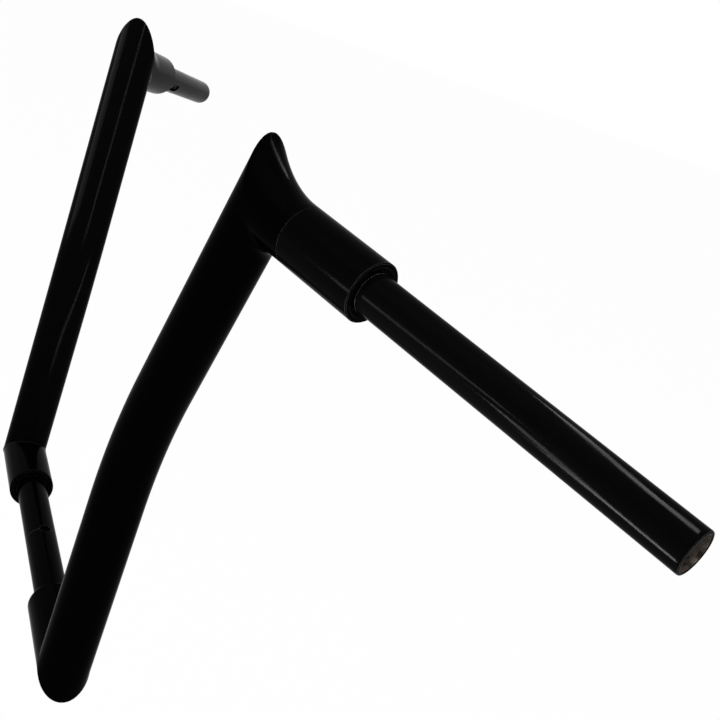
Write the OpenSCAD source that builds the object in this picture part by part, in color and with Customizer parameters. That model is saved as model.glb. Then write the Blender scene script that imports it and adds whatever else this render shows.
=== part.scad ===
// Ape hanger handlebar with pointed corners, a weldment of fat round tube,
// one-inch grips and a one-inch clamp tube, with the wiring run inside.
// +X is the rider's right, +Y is forward, +Z runs up the uprights.
// The origin is the middle of the clamp tube, and the left arm mirrors the right.

/* [Clamp tube] */
// Outside diameter of the tube that the risers clamp
clamp_d = 25.4; // [22:0.1:27]
// Wall of the clamp tube
clamp_wall = 2.6; // [2:0.1:3.5]
// Depth that the clamp tube runs into each lower collar
clamp_depth = 26; // [18:1:34]
// Diameter of the wiring hole in the middle of the clamp tube
clamp_hole_d = 9; // [6:0.5:11]
// Width of the centring line scribed round the middle
line_w = 0.8; // [0.5:0.1:1.2]
// Depth of the centring line
line_depth = 0.3; // [0.1:0.05:0.5]

/* [Fat tube] */
// Outside diameter of the uprights and collars
fat_d = 38.1; // [35:0.1:42]
// Wall of the fat tube
fat_wall = 2.6; // [2:0.1:3.5]
// Distance between the axes of the two uprights at the bottom
base_w = 330; // [300:1:380]
// Length of each lower collar, from its open face to the upright's axis
lower_collar_len = 75; // [60:1:90]
// Thickness of the plug that closes a lower collar round the clamp tube
bush_len = 14; // [10:1:17]
// How far the plug's face lies inside the collar's mouth
bush_inset = 1.2; // [0.5:0.1:2.5]

/* [Uprights] */
// Length of the lower straight, from the corner to the bend point
lower_len = 184; // [150:1:240]
// Length of the upper straight, from the bend point to the grip's axis
upper_len = 198; // [160:1:260]
// Outward lean of the lower straight, in degrees
splay = 1; // [0:0.5:4]
// Outward lean of the upper straight, in degrees
flare = 17.5; // [12:0.5:24]
// Rearward lean of the upper straight, in degrees
back_lean = 3; // [0:0.5:8]
// Radius of the bend, to the tube's axis
bend_r = 330; // [200:5:400]
// How far the bending draws the tube in, on the radius
bend_draw = 0.05; // [0.02:0.01:0.2]

/* [Pointed corners] */
// Height of the point above the grip's axis, along the upright
point_h = 41; // [36:0.5:48]
// Height of the lowest place on the scooped top
scoop_low = 18; // [16:0.5:22]
// Radius of the concave scoop
scoop_r = 90; // [70:5:200]
// Turn of the point round the upright, towards the front, in degrees
point_turn = 52; // [30:1:60]
// Thickness of the plate that closes the scoop
cap_t = 2.5; // [2:0.1:4]
// Length of the corner stub, from the upright's axis to the seam
stub_len = 37; // [34:0.5:44]
// Leg of the weld fillet between stub and upright
weld_leg = 9; // [5:0.5:12]
// Width of the weld seam at each lower mitre
seam_w = 1.6; // [1:0.1:2.5]
// Height of that seam above the tubes
seam_h = 0.25; // [0.1:0.05:0.5]

/* [Grips] */
// Outside diameter of the grip tubes
grip_d = 25.4; // [22:0.1:27]
// Wall of the grip tubes
grip_wall = 2.4; // [2:0.1:3.5]
// Rearward sweep of the grips in plan, in degrees
sweep = 27; // [15:0.5:35]
// Downward slope of the grips, in degrees
drop = 7.5; // [0:0.5:15]
// Length of each grip collar, from the seam to its face
collar_len = 61; // [50:1:80]
// Length of the collar's spigot inside the stub
spigot_len = 9; // [6:0.5:10]
// Length of grip tube that stands out of the collar
grip_out = 218; // [180:1:240]
// Depth that the grip tube runs into the collar
grip_depth = 42; // [30:1:45]
// How far that seated end is turned down, on the radius
seat_step = 0.6; // [0.4:0.1:1]
// Bore left through the collar for the wires
collar_bore_d = 19; // [14:0.5:20]
// Diameter of the wiring hole under each grip tube
grip_hole_d = 8; // [5:0.5:10]
// Distance of that hole from the collar's face
grip_hole_at = 46; // [30:1:80]
// Turn of that hole round the grip, from the top towards the rear, in degrees
grip_hole_turn = 131; // [90:1:180]

/* [Fits] */
// Radial clearance of each sleeve joint
fit = 0.1; // [0.05:0.05:0.2]
// Broken edge of turned ends
edge = 0.7; // [0.3:0.1:1]

/* [Hidden] */
$fn = 96;
BIG = 160;
FAT_R = fat_d / 2;
FAT_BORE_R = FAT_R - fat_wall;
CLAMP_R = clamp_d / 2;
GRIP_R = grip_d / 2;

function unit(v) = v / norm(v);

// Directions and places of the right arm
LOW = [sin(splay), 0, cos(splay)];
HIGH = unit([tan(flare), -tan(back_lean), 1]);
GRIP = [cos(drop) * cos(sweep), -cos(drop) * sin(sweep), -sin(drop)];
CORNER = [base_w / 2, 0, 0];
BEND = CORNER + lower_len * LOW;
TOP = BEND + upper_len * HIGH;
MOUTH_X = base_w / 2 - lower_collar_len;
COLLAR_END = stub_len + collar_len;
GRIP_END = COLLAR_END + grip_out;

// The bend, as an arc tangent to both straights
BEND_A = acos(LOW * HIGH);
BEND_RUN = bend_r * tan(BEND_A / 2);
BEND_C = BEND + unit(HIGH - LOW) * bend_r / cos(BEND_A / 2);
BEND_X = unit(BEND - BEND_RUN * LOW - BEND_C);
BEND_END_X = unit(BEND + BEND_RUN * HIGH - BEND_C);
BEND_LAP = 0.5;

// The mitre plane between lower collar and upright
MITRE = unit([1, 0, 0] + LOW);
MITRE_X = [0, 1, 0];

// Axes round the grip: up in the plane of the corner, and rearwards across it
REAR = unit(cross(GRIP, HIGH));
UP = cross(REAR, GRIP);
// The upright's own axes: IN faces away from the grip, TIP towards the point
IN = cross(REAR, HIGH);
TIP = cos(point_turn) * IN - sin(point_turn) * REAR;

// The scoop, an arc through the point and the lowest place, in TIP and HIGH
SCOOP_A = [FAT_R, point_h];
SCOOP_B = [-FAT_R, scoop_low];
SCOOP_N = unit([SCOOP_B.y - SCOOP_A.y, SCOOP_A.x - SCOOP_B.x]);
SCOOP_SAG = sqrt(scoop_r * scoop_r - pow(norm(SCOOP_A - SCOOP_B) / 2, 2));
SCOOP_C = (SCOOP_A + SCOOP_B) / 2 + SCOOP_SAG * SCOOP_N;

// Puts children at a point with their z along one direction and x along another
module place(at, z, x) {
    y = cross(z, x);
    multmatrix([[x.x, y.x, z.x, at.x], [x.y, y.y, z.y, at.y], [x.z, y.z, z.z, at.z]]) children();
}

module right_arm() children();

module left_arm() mirror([1, 0, 0]) children();

module tube(r, bore, len) {
    difference() {
        cylinder(r = r, h = len);
        translate([0, 0, -1]) cylinder(r = bore, h = len + 2);
    }
}

// All that lies on the side of a plane that its normal points to
module beyond(at, n, x) {
    place(at, n, x) translate([-BIG, -BIG, 0]) cube([2 * BIG, 2 * BIG, 2 * BIG]);
}

// The scoop's cutting cylinder, grown by a given amount
module scoop_cut(more) {
    axis = cross(TIP, HIGH);
    place(TOP + SCOOP_C.x * TIP + SCOOP_C.y * HIGH, axis, TIP)
        translate([0, 0, -BIG / 2]) cylinder(r = scoop_r + more, h = BIG, $fn = 180);
}

// Clamp tube with the wiring hole on top and the centring line
module clamp_tube() {
    half = MOUTH_X + clamp_depth;
    color([0.05, 0.05, 0.055]) difference() {
        translate([-half, 0, 0]) rotate([0, 90, 0]) tube(CLAMP_R, CLAMP_R - clamp_wall, 2 * half);
        cylinder(d = clamp_hole_d, h = clamp_d);
        translate([-line_w / 2, 0, 0]) rotate([0, 90, 0]) tube(clamp_d, CLAMP_R - line_depth, line_w);
    }
}

// Fat collar at the bottom corner, mitred where it meets the upright
module lower_collar() {
    long = lower_collar_len + fat_d;
    lip = fat_wall / 3;
    color([0.05, 0.05, 0.055]) difference() {
        translate([MOUTH_X, 0, 0]) rotate([0, 90, 0]) rotate_extrude()
            polygon([[FAT_BORE_R, lip], [FAT_BORE_R + lip, 0],
                     [FAT_R - edge * 1.5, 0], [FAT_R - edge * 0.45, edge * 0.45],
                     [FAT_R, edge * 1.5], [FAT_R, long], [FAT_BORE_R, long]]);
        beyond(CORNER - seam_w * MITRE, MITRE, MITRE_X);
    }
}

// Turned plug that closes the collar's mouth round the clamp tube
module lower_bush() {
    r = FAT_BORE_R - fit;
    bore = CLAMP_R + fit;
    color([0.05, 0.05, 0.055]) translate([MOUTH_X + bush_inset, 0, 0]) rotate([0, 90, 0]) rotate_extrude()
        polygon([[bore, 0], [r - edge, 0], [r, edge], [r, bush_len - edge], [r - edge, bush_len], [bore, bush_len]]);
}

// Weld seam round the lower mitre, filling the gap between collar and upright
module lower_seam() {
    color([0.05, 0.05, 0.055]) difference() {
        translate([base_w / 2 - fat_d, 0, 0]) rotate([0, 90, 0]) tube(FAT_R + seam_h, FAT_BORE_R, 2 * fat_d);
        beyond(CORNER, MITRE, MITRE_X);
        beyond(CORNER - seam_w * MITRE, -MITRE, MITRE_X);
    }
}

// Round bar along the upright: straight, bend, straight, each straight lapping the bend
module bent_rod(r) {
    place(CORNER - fat_d * LOW, LOW, BEND_X) cylinder(r = r, h = fat_d + lower_len - BEND_RUN + BEND_LAP);
    place(BEND_C, cross(BEND_X, LOW), BEND_X) rotate_extrude(angle = BEND_A, $fn = 180)
        translate([bend_r, 0]) circle(r = r - bend_draw, $fn = 96);
    place(BEND + (BEND_RUN - BEND_LAP) * HIGH, HIGH, BEND_END_X)
        cylinder(r = r, h = BEND_LAP + upper_len - BEND_RUN + point_h + 10);
}

// Upright: one bent tube, mitred below and scooped above
module upright() {
    color([0.05, 0.05, 0.055]) difference() {
        bent_rod(FAT_R);
        bent_rod(FAT_BORE_R);
        beyond(CORNER, -MITRE, MITRE_X);
        scoop_cut(cap_t);
        place(TOP, GRIP, UP) cylinder(d = collar_bore_d, h = fat_d);
    }
}

// Curved plate that closes the scooped top, ground flush with the tube
module point_cap() {
    color([0.05, 0.05, 0.055]) difference() {
        intersection() {
            place(TOP, HIGH, IN) cylinder(r = FAT_R, h = point_h + 10);
            scoop_cut(cap_t - 0.05);
        }
        scoop_cut(0);
    }
}

// Stub coped onto the upright, up to the seam of the grip collar
module corner_stub() {
    color([0.05, 0.05, 0.055]) difference() {
        place(TOP, GRIP, UP) tube(FAT_R, FAT_BORE_R, stub_len);
        place(TOP - fat_d * HIGH, HIGH, IN) cylinder(r = FAT_R + fit, h = 3 * fat_d);
    }
}

// Weld fillets above and below the stub: a concave section carried along the joint of the two tubes
FILLET_SPAN = 82;
FILLET_STEPS = 40;
FILLET_ARC = 6;
FILLET_LIFT = 0.12;

// Point of the joint at a turn round the stub, in grip, up and rear
function joint_at(turn) =
    let (r = FAT_R + FILLET_LIFT, c = GRIP * HIGH, s = HIGH * UP)
    [r * (c * cos(turn) + abs(cos(turn))) / s, r * cos(turn), r * sin(turn)];
function in_arm(p) = TOP + p.x * GRIP + p.y * UP + p.z * REAR;
function curve(a, k, b, t) = (1 - t) * (1 - t) * a + 2 * t * (1 - t) * k + t * t * b;
function fillet_ring(turn, leg) =
    let (side = sign(cos(turn)), size = 0.15 + leg * pow(abs(cos(turn)), 0.8), k = in_arm(joint_at(turn)),
         a = k + size * GRIP, b = k + side * size * HIGH)
    concat([k], [for (i = [0 : FILLET_ARC]) curve(a, k, b, i / FILLET_ARC)]);

module fillet(middle, leg) {
    n = FILLET_ARC + 2;
    rings = [for (i = [0 : FILLET_STEPS]) fillet_ring(middle - FILLET_SPAN + 2 * FILLET_SPAN * i / FILLET_STEPS, leg)];
    points = [for (ring = rings) each ring];
    sides = [for (i = [0 : FILLET_STEPS - 1]) for (j = [0 : n - 1])
        [i * n + j, i * n + (j + 1) % n, (i + 1) * n + (j + 1) % n, (i + 1) * n + j]];
    first = [[for (j = [n - 1 : -1 : 0]) j]];
    last = [[for (j = [0 : n - 1]) FILLET_STEPS * n + j]];
    polyhedron(points = points, faces = concat(first, sides, last));
}

module corner_weld() {
    color([0.05, 0.05, 0.055]) {
        fillet(0, weld_leg * 0.6);
        fillet(180, weld_leg);
    }
}

// Turned collar that steps down from the stub to the grip tube
module grip_collar() {
    spigot_r = FAT_BORE_R - fit;
    bore = GRIP_R - seat_step + fit;
    wire = collar_bore_d / 2;
    start = stub_len - spigot_len;
    seat = COLLAR_END - grip_depth - 0.3;
    face = COLLAR_END;
    color([0.05, 0.05, 0.055]) place(TOP, GRIP, UP) rotate_extrude() polygon([
        [wire, start], [spigot_r - edge, start], [spigot_r, start + edge], [spigot_r, stub_len],
        [FAT_R - edge / 2, stub_len], [FAT_R, stub_len + edge / 2], [FAT_R, face - edge], [FAT_R - edge, face],
        [FAT_R - 3, face], [FAT_R - 3.4, face - edge], [bore, face - edge], [bore, seat], [wire, seat]]);
}

// Grip tube, open at its end, with the wiring hole underneath
module grip_tube() {
    bore = GRIP_R - grip_wall;
    from = COLLAR_END - grip_depth;
    seat_r = GRIP_R - seat_step;
    color([0.05, 0.05, 0.055]) place(TOP, GRIP, UP) difference() {
        rotate_extrude() polygon([
            [bore, from], [seat_r, from], [seat_r, COLLAR_END], [GRIP_R, COLLAR_END], [GRIP_R, GRIP_END - edge / 2],
            [GRIP_R - edge / 2, GRIP_END], [bore + edge / 2, GRIP_END], [bore, GRIP_END - edge / 2]]);
        translate([0, 0, COLLAR_END + grip_hole_at]) rotate([0, 0, -grip_hole_turn]) rotate([0, 90, 0])
            cylinder(d = grip_hole_d, h = grip_d);
    }
}

clamp_tube();
right_arm() lower_collar();  // right_lower_collar
left_arm() lower_collar();  // left_lower_collar
right_arm() lower_bush();  // right_lower_bush
left_arm() lower_bush();  // left_lower_bush
right_arm() lower_seam();  // right_lower_seam
left_arm() lower_seam();  // left_lower_seam
right_arm() upright();  // right_upright
left_arm() upright();  // left_upright
right_arm() point_cap();  // right_point_cap
left_arm() point_cap();  // left_point_cap
right_arm() corner_stub();  // right_corner_stub
left_arm() corner_stub();  // left_corner_stub
right_arm() corner_weld();  // right_corner_weld
left_arm() corner_weld();  // left_corner_weld
right_arm() grip_collar();  // right_grip_collar
left_arm() grip_collar();  // left_grip_collar
right_arm() grip_tube();  // right_grip_tube
left_arm() grip_tube();  // left_grip_tube
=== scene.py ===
"""Looks of the ape hanger handlebar: gloss black coat over a fat-tube weldment."""
import math

import bpy
import numpy as np
from mathutils import Matrix, Vector


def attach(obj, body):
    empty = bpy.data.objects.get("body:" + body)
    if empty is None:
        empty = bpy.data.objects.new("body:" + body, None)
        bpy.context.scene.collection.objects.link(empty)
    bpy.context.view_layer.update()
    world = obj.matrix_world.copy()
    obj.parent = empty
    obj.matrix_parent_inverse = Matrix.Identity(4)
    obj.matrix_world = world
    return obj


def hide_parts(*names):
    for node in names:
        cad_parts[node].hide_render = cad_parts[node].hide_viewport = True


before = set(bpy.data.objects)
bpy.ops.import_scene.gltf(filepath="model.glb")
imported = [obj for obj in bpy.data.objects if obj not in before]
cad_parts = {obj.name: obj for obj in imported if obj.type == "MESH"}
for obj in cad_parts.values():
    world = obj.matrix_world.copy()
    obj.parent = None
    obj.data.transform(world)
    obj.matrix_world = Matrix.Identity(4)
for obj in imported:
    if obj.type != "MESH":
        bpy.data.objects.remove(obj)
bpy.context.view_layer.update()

# Camera, solved from the tubes' outlines in the photograph
RIGHT = Vector((-0.3340, -0.8806, 0.3362))
UP = Vector((0.3977, 0.1917, 0.8972))
EYE = Vector((-0.85935, 0.21547, 0.50408))
LENS_MM = 58.03
SENSOR_MM = 36.0
CLIP_END = 60.0

# Studio: the floor lies well below the bar, so its shadow is soft and wide.
# FLOOR_WHITE is the share of plain white in the floor that the camera sees.
WHITE = (1, 1, 1, 1)
FLOOR_Z = -0.45
FLOOR_SIZE = 40
FLOOR_WHITE = 0.94
ROOM_LIGHT = 0.8

# Lamps: name, middle, target, direction of the long side, size and watts
KEY_LAMP = ("key", (-0.6, 0.9, 2.4), (0, 0, 0), (1, 0, 0), (2.4, 2.4), 30)

# Each strip's reflection runs along one tube, and it lights only the pieces it is listed under
STRIPS = {
    ("left_grip", "left_grip_collar"): (
        ("near_grip_root", (-0.325, 0.422, 0.267), (-0.367, -0.066, 0.354),
         (-0.948, -0.174, 0.265), (0.22, 0.05), 2.6),
        ("near_grip_low", (-0.424, 0.254, 0.016), (-0.465, -0.117, 0.336),
         (-0.273, -0.630, -0.727), (0.34, 0.05), 8),
        ("near_grip_top", (-0.319, -0.235, 0.798), (-0.476, -0.130, 0.348),
         (-0.810, 0.500, 0.306), (0.42, 0.06), 6),
    ),
    ("left_grip",): (
        ("near_end_low", (-0.455, 0.192, -0.048), (-0.496, -0.133, 0.330),
         (-0.781, -0.517, -0.349), (0.22, 0.06), 8),
        ("near_end_top", (-0.383, -0.204, 0.824), (-0.495, -0.139, 0.345),
         (-0.715, 0.674, 0.187), (0.16, 0.10), 5),
    ),
    ("left_arm",): (
        ("near_point", (-0.200, -0.325, 0.765), (-0.233, -0.010, 0.400),
         (1.000, 0.050, -0.050), (0.40, 0.04), 3.5),
    ),
    ("right_arm",): (
        ("far_arm", (-0.110, 0.017, 0.507), (0.200, -0.006, 0.347),
         (0.304, -0.237, 0.923), (0.44, 0.03), 2.6),
        ("far_arm_low", (-0.153, -0.148, 0.085), (0.149, -0.002, 0.179),
         (-0.300, 0.710, -0.637), (0.42, 0.03), 2),
        ("far_arm_edge", (0.329, 0.334, 0.408), (0.214, 0.007, 0.362),
         (-0.516, 0.145, -0.844), (0.40, 0.25), 5),
    ),
}

# Finishes: greys of the coat and of the highlights painted along its edges, its noise in features
# per metre, and the width of those painted highlights in metres
COAT_GREY = 0.0005
# The two edge greys below are painted highlights along the coat's edges: on turned edges, and on
# the ground welds
TURNED_EDGE_HIGHLIGHT_GREY = 0.036
GROUND_WELD_HIGHLIGHT_GREY = 0.004
COAT_MIRROR = 0.0035
SMEARS = 26
PEEL = 420
EDGE_WIDTH = 0.0005
RUST = (0.03, 0.02, 0.013, 1)
MILL_SCALE = (0.17, 0.145, 0.12, 1)
BLOTCHES = 320

# The bar's sizes in millimetres, on the right-hand side: LOW, HIGH and GRIP are its tubes'
# directions, and FOOT, BEND and TOP are where clamp tube, LOW, HIGH and GRIP meet in turn
MM = 0.001
FAT_R = 19.05
HALF_BASE = 165
LOWER_LEN = 184
UPPER_LEN = 198
SPLAY = math.radians(1)
FLARE = math.radians(17.5)
BACK_LEAN = math.radians(3)
SWEEP = math.radians(27)
DROP = math.radians(7.5)
LOW = Vector((math.sin(SPLAY), 0, math.cos(SPLAY)))
HIGH = Vector((math.tan(FLARE), -math.tan(BACK_LEAN), 1)).normalized()
GRIP = Vector((math.cos(DROP) * math.cos(SWEEP), -math.cos(DROP) * math.sin(SWEEP),
               -math.sin(DROP)))
FOOT = Vector((HALF_BASE, 0, 0))
BEND = FOOT + LOWER_LEN * LOW
TOP = BEND + UPPER_LEN * HIGH
BEND_R = 330
BEND_TURN = LOW.angle(HIGH)
BEND_RUN = BEND_R * math.tan(BEND_TURN / 2)
MITRE = (Vector((1, 0, 0)) + LOW).normalized()

# The ground corner: its own axes are OUT, REAR and HIGH, and SKIRT is its reach down the upright
REAR = GRIP.cross(HIGH).normalized()
OUT = HIGH.cross(REAR)
STUB_LEN = 37
SKIRT = 62
VOXELS = (1.6, 0.9)
PRESSES = 12

# The scooped top is the inner side of a bend of the same fat tube, from the point to the stub
SCOOP_R = 54.0
POINT_H = 39.0
EDGE_ROUND = 1.4
LEAN = GRIP.dot(HIGH)
RISE = math.sqrt(1 - LEAN ** 2)
SCOOP_UP = SCOOP_R + FAT_R
POINT_ALONG = LEAN * POINT_H - RISE * FAT_R
POINT_UP = RISE * POINT_H + LEAN * FAT_R - FAT_R
SCOOP_ALONG = POINT_ALONG + math.sqrt(2 * SCOOP_R * POINT_UP - POINT_UP ** 2)

# The weld's fillet is full under the stub, and runs out up its sides and round the upright.
# HAIR keeps its reach above nothing, since the blend divides by it.
LOW_FILLET = 11.0
FILLET_START = 4
FILLET_RUN = 14
FILLET_FADE = 1.7
HAIR = 0.001

# Grip tubes, by distance from TOP along GRIP
SEAT_START = 56
COLLAR_END = 98
GRIP_END = 316
GRIP_R = 12.7
SEAT_R = 12.1
BORE_R = 10.3
BARE_R = 10.38
SLOT_AT = 144
SLOT_TURN = math.radians(129)
SLOT_R = 4.5
SLOT_REACH = 9
SLOT_ROD = 20
SLOT_RINGS = (SLOT_AT - 16, SLOT_AT + 16)

# The tube's section as (distance, radius): up its seat and outside, over the lip, down the bore.
# The rings round the slot and behind the lip keep the long faces between them evenly shaded.
GRIP_PROFILE = (
    (SEAT_START, BORE_R), (SEAT_START, SEAT_R), (COLLAR_END, SEAT_R), (COLLAR_END, GRIP_R),
    (SLOT_RINGS[0], GRIP_R), (SLOT_RINGS[1], GRIP_R), (GRIP_END - 3, GRIP_R),
    (GRIP_END - 0.9, GRIP_R), (GRIP_END - 0.25, 12.45), (GRIP_END, 11.9), (GRIP_END, 10.9),
    (GRIP_END - 0.3, 10.4), (GRIP_END - 1, BORE_R),
    (GRIP_END - 3, BORE_R), (SLOT_RINGS[1], BORE_R), (SLOT_RINGS[0], BORE_R),
    (SEAT_START, BORE_R))

# How finely the round pieces are drawn
ROD_SIDES = 128
UPRIGHT_SIDES = 144
SLOT_SIDES = 48
BEND_STEPS = 28


# Node tools
def fill(tree, node, values):
    """Gives each named or numbered socket of a node its value, or a link from another's output."""
    for socket, value in values.items():
        if isinstance(value, bpy.types.NodeSocket):
            tree.links.new(value, node.inputs[socket])
        else:
            node.inputs[socket].default_value = value


def add_node(tree, kind, values=None, **settings):
    """Adds a node, sets its options and fills its sockets."""
    node = tree.nodes.new(kind)
    for setting, value in settings.items():
        setattr(node, setting, value)
    fill(tree, node, values or {})
    return node


def new_paint(name):
    """Starts a material, and gives it with its node tree and its shader."""
    paint = bpy.data.materials.new(name)
    paint.use_nodes = True
    return paint, paint.node_tree, paint.node_tree.nodes["Principled BSDF"]


def grey(level):
    return (level, level, level, 1)


def add_noise(tree, place, scale, detail):
    noise = add_node(tree, "ShaderNodeTexNoise", {
        "Scale": scale,
        "Detail": detail,
        "Vector": place})
    return noise.outputs["Fac"]


def add_range(tree, value, given, wanted):
    """Carries a value over from one range to another, and holds it at the ends."""
    fit = add_node(tree, "ShaderNodeMapRange", {
        "From Min": given[0],
        "From Max": given[1],
        "To Min": wanted[0],
        "To Max": wanted[1],
        "Value": value})
    return fit.outputs["Result"]


def add_colours(tree, factor, one, two):
    mix = add_node(tree, "ShaderNodeMix", {"A": one, "B": two, "Factor": factor}, data_type="RGBA")
    return mix.outputs["Result"]


def add_bump(tree, height, strength, distance):
    bump = add_node(tree, "ShaderNodeBump", {
        "Strength": strength,
        "Distance": distance,
        "Height": height})
    return bump.outputs["Normal"]


# Camera and studio
def aim(thing, eye, right, up, back):
    """Stands a camera or lamp at a point, with its three axes given."""
    turn = Matrix((right, up, back)).transposed().to_4x4()
    thing.matrix_world = Matrix.Translation(eye) @ turn


def make_camera():
    bpy.ops.object.camera_add()
    camera = bpy.context.object
    camera.name = "camera"
    camera.data.lens = LENS_MM
    camera.data.sensor_width = SENSOR_MM
    camera.data.clip_end = CLIP_END
    right = RIGHT.normalized()
    up = (UP - UP.dot(right) * right).normalized()
    aim(camera, EYE, right, up, right.cross(up))
    bpy.context.scene.camera = camera


def make_lamp(name, place, target, along, size, power):
    """Adds an area lamp that faces a target, with its long side along a direction."""
    place, along = Vector(place), Vector(along)
    back = (place - Vector(target)).normalized()
    side = (along - along.dot(back) * back).normalized()
    bpy.ops.object.light_add(type="AREA")
    lamp = bpy.context.object
    lamp.name = name
    lamp.data.shape = "RECTANGLE"
    lamp.data.size, lamp.data.size_y = size
    lamp.data.energy = power
    lamp.visible_camera = False
    aim(lamp, place, side, back.cross(side), back)
    return lamp


def light_only(lamp, names):
    """Keeps a lamp's light to the pieces of these names."""
    lit = bpy.data.collections.new(lamp.name)
    for name in names:
        lit.objects.link(bpy.data.objects[name])
    lamp.light_linking.receiver_collection = lit


def make_floor():
    bpy.ops.mesh.primitive_plane_add(size=FLOOR_SIZE, location=(0, 0, FLOOR_Z))
    floor = bpy.context.object
    floor.name = "floor"
    floor.data.materials.append(floor_paint())


def make_world():
    """An even studio, white to the camera, to reflections and through glass."""
    world = bpy.data.worlds.new("studio")
    bpy.context.scene.world = world
    world.use_nodes = True
    tree = world.node_tree
    room = tree.nodes["Background"]
    fill(tree, room, {"Color": WHITE, "Strength": ROOM_LIGHT})
    white = add_node(tree, "ShaderNodeBackground", {"Color": WHITE, "Strength": 1})
    rays = add_node(tree, "ShaderNodeLightPath").outputs
    seen = add_node(tree, "ShaderNodeMath", {
        0: rays["Is Camera Ray"],
        1: rays["Is Glossy Ray"]}, operation="MAXIMUM")
    any_seen = add_node(tree, "ShaderNodeMath", {
        0: seen.outputs[0],
        1: rays["Is Transmission Ray"]}, operation="MAXIMUM")
    mix = add_node(tree, "ShaderNodeMixShader", {
        0: any_seen.outputs[0],
        1: room.outputs[0],
        2: white.outputs[0]})
    fill(tree, tree.nodes["World Output"], {"Surface": mix.outputs[0]})


# Materials
def floor_paint():
    """Floor paint that reads near white to the camera, and still takes the shadow."""
    paint, tree, matt = new_paint("floor_paint")
    fill(tree, matt, {"Base Color": grey(0.93), "Roughness": 0.9, "Specular IOR Level": 0.1})
    white = add_node(tree, "ShaderNodeEmission", {"Color": WHITE, "Strength": 1})
    rays = add_node(tree, "ShaderNodeLightPath").outputs
    share = add_node(tree, "ShaderNodeMath", {
        0: rays["Is Camera Ray"],
        1: FLOOR_WHITE}, operation="MULTIPLY")
    mix = add_node(tree, "ShaderNodeMixShader", {
        0: share.outputs[0],
        1: matt.outputs[0],
        2: white.outputs[0]})
    fill(tree, tree.nodes["Material Output"], {"Surface": mix.outputs[0]})
    return paint


def painted_edge_highlights(tree, rim):
    """Colours the coat, going over to a rim's lighter grey along an edge, as a painted highlight.

    An edge is where the rounded normal leaves the face's own.
    """
    # Painted highlight: the base colour turns to a lighter grey along every edge
    rounded = add_node(tree, "ShaderNodeBevel", {"Radius": EDGE_WIDTH}, samples=6)
    flat = add_node(tree, "ShaderNodeNewGeometry")
    match = add_node(tree, "ShaderNodeVectorMath", {
        0: rounded.outputs["Normal"],
        1: flat.outputs["Normal"]}, operation="DOT_PRODUCT")
    edge = add_range(tree, match.outputs["Value"], given=(0.985, 0.85), wanted=(0, 1))
    return add_colours(tree, edge, grey(COAT_GREY), grey(rim))


def black_coat(name, rim):
    """Gloss black powder coat: orange peel, soft smears in the gloss, and painted highlights along
    its edges.
    """
    coat, tree, shader = new_paint(name)
    place = add_node(tree, "ShaderNodeTexCoord").outputs["Object"]
    smears = add_noise(tree, place, SMEARS, detail=4)
    peel = add_noise(tree, place, PEEL, detail=2)
    fill(tree, shader, {
        "Specular IOR Level": COAT_MIRROR,
        "Roughness": add_range(tree, smears, given=(0.3, 0.7), wanted=(0.09, 0.2)),
        "Base Color": painted_edge_highlights(tree, rim),
        "Normal": add_bump(tree, peel, strength=0.06, distance=0.0005)})
    return coat


def bare_steel():
    """Mill steel inside an open tube, mottled brown and grey."""
    steel, tree, shader = new_paint("bare_steel")
    place = add_node(tree, "ShaderNodeTexCoord").outputs["Object"]
    blotches = add_noise(tree, place, BLOTCHES, detail=6)
    spread = add_range(tree, blotches, given=(0.38, 0.62), wanted=(0, 1))
    fill(tree, shader, {
        "Metallic": 0.7,
        "Base Color": add_colours(tree, spread, RUST, MILL_SCALE),
        "Roughness": add_range(tree, blotches, given=(0.3, 0.7), wanted=(0.65, 0.4)),
        "Normal": add_bump(tree, blotches, strength=0.3, distance=0.0003)})
    return steel


def refinish(piece, *paints):
    """Takes a piece's materials off, and puts these on."""
    piece.data.materials.clear()
    for paint in paints:
        piece.data.materials.append(paint)


# Mesh tools: lengths are in millimetres
def pick(*pieces):
    """Selects these pieces alone, and makes the first the active one."""
    bpy.ops.object.select_all(action="DESELECT")
    for piece in pieces:
        piece.select_set(True)
    bpy.context.view_layer.objects.active = pieces[0]


def open_mesh(piece):
    """Starts to edit a piece, with all of its mesh selected."""
    pick(piece)
    bpy.ops.object.mode_set(mode="EDIT")
    bpy.ops.mesh.select_all(action="SELECT")


def close_mesh():
    bpy.ops.object.mode_set(mode="OBJECT")


def turn_normals_out():
    bpy.ops.mesh.select_all(action="SELECT")
    bpy.ops.mesh.normals_make_consistent(inside=False)


def draw_out(run, rings=1):
    """Extrudes the selected rim along a run, in equal steps."""
    for _ in range(rings):
        bpy.ops.mesh.extrude_region_move(TRANSFORM_OT_translate={"value": run / rings * MM})


def smooth(piece, degrees):
    """Shades a piece smooth, but for edges that turn by more than this."""
    pick(piece)
    bpy.ops.object.shade_smooth_by_angle(angle=math.radians(degrees))


def lay_along(axis):
    """Gives the rotation that turns Z to an axis."""
    return axis.to_track_quat("Z", "Y").to_euler()


def settle():
    """Applies the new piece's transform, and gives the piece."""
    bpy.ops.object.transform_apply(location=True, rotation=True, scale=True)
    return bpy.context.object


def add_rod(start, axis, length, r, sides=ROD_SIDES):
    """Adds a closed round bar from a point along an axis."""
    bpy.ops.mesh.primitive_cylinder_add(
        vertices=sides, radius=r * MM, depth=length * MM,
        location=(start + length / 2 * axis) * MM, rotation=lay_along(axis))
    return settle()


def add_ring(middle, axis, r, sides):
    """Adds an open ring of edges round an axis."""
    bpy.ops.mesh.primitive_circle_add(
        vertices=sides, radius=r * MM, location=middle * MM, rotation=lay_along(axis))
    return settle()


def join(name, *pieces):
    pick(*pieces)
    bpy.ops.object.join()
    pieces[0].name = pieces[0].data.name = name
    return pieces[0]


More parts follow.
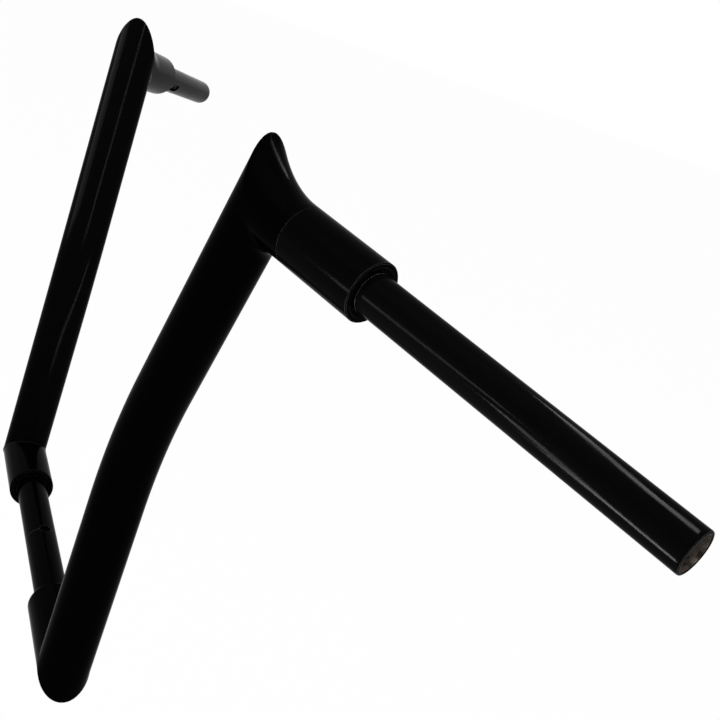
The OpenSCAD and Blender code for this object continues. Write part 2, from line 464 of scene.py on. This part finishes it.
def trim(piece, at, normal, close):
    """Cuts away all that lies on the side that the normal points to."""
    open_mesh(piece)
    bpy.ops.mesh.bisect(plane_co=at * MM, plane_no=normal, clear_outer=True, use_fill=close,
                        threshold=0.00001)
    close_mesh()


def carve(piece, tool):
    """Cuts one closed piece out of another."""
    cut = piece.modifiers.new("cut", "BOOLEAN")
    cut.object = tool
    cut.solver = "EXACT"
    pick(piece)
    bpy.ops.object.modifier_apply(modifier="cut")
    bpy.data.objects.remove(tool)


def mirrored(piece, name):
    """Copies a right-hand piece to the left."""
    twin = piece.copy()
    twin.data = piece.data.copy()
    twin.name = twin.data.name = name
    bpy.context.scene.collection.objects.link(twin)
    pick(twin)
    twin.scale = (-1, 1, 1)
    settle()
    open_mesh(twin)
    turn_normals_out()
    close_mesh()
    return twin


# Arms: the upright's tube is drawn out from its mitre, and its top is ground to shape
def rounding(one, two, reach):
    """How far a blend of this reach moves the joint of two surfaces, from their distances."""
    near = np.maximum(reach - np.abs(one - two), 0) / reach
    return near ** 2 * reach / 4


def ground_shape(spots):
    """Distance from the corner's surface, negative inside, of spots along OUT, REAR and HIGH."""
    out, rear, high = spots.T
    along, up = RISE * out + LEAN * high, RISE * high - LEAN * out
    upright = np.hypot(out, rear) - FAT_R

    # Above the stub's axis: the upright's end and the stub's lid, and their edge rounded off
    bend = SCOOP_UP - np.hypot(along - SCOOP_ALONG, up - SCOOP_UP)
    depth = np.where(along < SCOOP_ALONG, bend, up)
    lid = np.hypot(np.maximum(depth, 0), rear) - FAT_R
    inward = np.clip(1 - (rear / FAT_R) ** 2, 0, 1)
    ease = EDGE_ROUND * np.clip(depth / FAT_R, 0, 1) * inward + 0.01
    point = np.maximum(upright, lid) + rounding(upright, lid, ease)
    top = np.minimum(point, np.maximum(lid, -along))

    # Below it: the upright and the stub, and the weld's fillet between them
    stub = np.maximum(np.hypot(up, rear) - FAT_R, -along)
    outward = np.clip((out + FILLET_START) / FILLET_RUN, HAIR, 1)
    under = np.clip(-up / FAT_R, HAIR, 1) ** FILLET_FADE
    low = np.minimum(upright, stub) - rounding(upright, stub, LOW_FILLET * outward * under)
    return np.where(up > 0, top, low)


def press_to_shape(piece):
    """Moves each vertex straight onto the ground surface, in Newton's steps."""
    step, longest, flattest = 0.01, 3, 0.2
    axes = np.array((OUT, REAR, HIGH))
    spots = np.empty(len(piece.data.vertices) * 3)
    piece.data.vertices.foreach_get("co", spots)
    spots = (spots.reshape(-1, 3) / MM - np.array(TOP)) @ axes.T
    for _ in range(PRESSES):
        gap = ground_shape(spots)
        slope = np.stack([(ground_shape(spots + step * e) - gap) / step for e in np.eye(3)], 1)
        steepness = np.maximum((slope ** 2).sum(1), flattest)
        spots -= (np.clip(gap, -longest, longest) / steepness)[:, None] * slope
    spots = (spots @ axes + np.array(TOP)) * MM
    piece.data.vertices.foreach_set("co", spots.ravel())
    piece.data.update()


def make_corner():
    """Joins two rods, presses their skin to the ground shape, and cuts it to length."""
    below, above, beyond = 10, 38, 8
    upright = add_rod(TOP - (SKIRT + below) * HIGH, HIGH, SKIRT + below + above, FAT_R)
    stub = add_rod(TOP, GRIP, STUB_LEN + beyond, FAT_R)
    corner = join("corner", upright, stub)
    for voxel in VOXELS:
        corner.data.remesh_voxel_size = voxel * MM
        corner.data.remesh_voxel_adaptivity = 0
        bpy.ops.object.voxel_remesh()
        press_to_shape(corner)
    trim(corner, TOP + STUB_LEN * GRIP, GRIP, close=True)
    trim(corner, TOP - SKIRT * HIGH, -HIGH, close=False)
    return corner


def make_upright():
    """Draws the tube from below the mitre, round the bend and up to the ground corner."""
    below, gap = 30, 1
    across = LOW.cross(HIGH).normalized()
    tube = add_ring(FOOT - below * LOW, LOW, FAT_R, UPRIGHT_SIDES)
    open_mesh(tube)
    straight = below + LOWER_LEN - BEND_RUN
    draw_out(LOW * straight, 4)
    centre = BEND - BEND_RUN * LOW + BEND_R * (across.cross(LOW))
    bpy.ops.mesh.spin(steps=BEND_STEPS, angle=-BEND_TURN, center=centre * MM, axis=across)
    length = UPPER_LEN - BEND_RUN - SKIRT - gap
    draw_out(HIGH * length, 3)
    close_mesh()
    trim(tube, FOOT, -MITRE, close=True)
    return tube


def bridge_rims(piece):
    """Closes the short gap between the drawn tube and the ground corner."""
    open_mesh(piece)
    bpy.ops.mesh.select_mode(type="EDGE")
    bpy.ops.mesh.select_all(action="DESELECT")
    bpy.ops.mesh.select_non_manifold(extend=False, use_wire=False, use_multi_face=False,
                                     use_non_contiguous=False, use_verts=False)
    bpy.ops.mesh.bridge_edge_loops()
    turn_normals_out()
    close_mesh()


def make_arm(coat):
    """Joins the ground corner to its upright, in one skin."""
    arm = join("right_arm", make_corner(), make_upright())
    bridge_rims(arm)
    smooth(arm, 35)
    refinish(arm, coat)
    return arm


# Grip tubes
def turn_tube(start, axis, profile):
    """Draws a ring along a closed profile of (distance, radius), and welds it shut."""
    place, r = profile[0]
    tube = add_ring(start + place * axis, axis, r, ROD_SIDES)
    open_mesh(tube)
    for next_place, next_r in profile[1:]:
        draw_out((next_place - place) * axis)
        bpy.ops.transform.resize(value=(next_r / r,) * 3,
                                 center_override=(start + next_place * axis) * MM)
        place, r = next_place, next_r
    bpy.ops.mesh.select_all(action="SELECT")
    bpy.ops.mesh.remove_doubles(threshold=0.000001)
    turn_normals_out()
    close_mesh()
    return tube


def cut_slot(tube):
    """Cuts the wiring slot underneath, with a rod whose two halves are drawn apart."""
    down = math.cos(SLOT_TURN) * REAR.cross(GRIP) + math.sin(SLOT_TURN) * REAR
    slot = add_rod(TOP + SLOT_AT * GRIP, down, SLOT_ROD, SLOT_R, SLOT_SIDES)
    for vertex in slot.data.vertices:
        along = (vertex.co / MM - TOP).dot(GRIP) - SLOT_AT
        vertex.co += math.copysign(SLOT_REACH, along) * GRIP * MM
    carve(tube, slot)


def make_grip(coat, steel):
    """Turns and slots the tube, coats its outside and leaves its bore bare."""
    tube = turn_tube(TOP, GRIP, GRIP_PROFILE)
    cut_slot(tube)
    tube.name = tube.data.name = "right_grip"
    smooth(tube, 32)
    refinish(tube, coat, steel)
    for face in tube.data.polygons:
        from_top = face.center / MM - TOP
        off_axis = (from_top - from_top.dot(GRIP) * GRIP).length
        face.material_index = 1 if off_axis < BARE_R else 0
    return tube


make_camera()
make_world()
make_floor()
make_lamp(*KEY_LAMP)

# Both coats carry a painted highlight along their edges, brighter on the turned edges than on the
# ground welds
edge_coat = black_coat("coat_on_turned_edges", TURNED_EDGE_HIGHLIGHT_GREY)
weld_coat = black_coat("coat_on_ground_welds", GROUND_WELD_HIGHLIGHT_GREY)
steel = bare_steel()
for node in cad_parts.values():
    refinish(node, edge_coat)

arm = make_arm(weld_coat)
grip = make_grip(edge_coat, steel)
for side, piece in (("right", arm), ("left", mirrored(arm, "left_arm"))):
    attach(piece, "root")
    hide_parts(side + "_upright", side + "_point_cap", side + "_corner_stub",
                side + "_corner_weld")
for side, piece in (("right", grip), ("left", mirrored(grip, "left_grip"))):
    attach(piece, "root")
    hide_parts(side + "_grip_tube")

for pieces, strips in STRIPS.items():
    for strip in strips:
        light_only(make_lamp(*strip), pieces)

bpy.context.scene.view_settings.view_transform = "Standard"
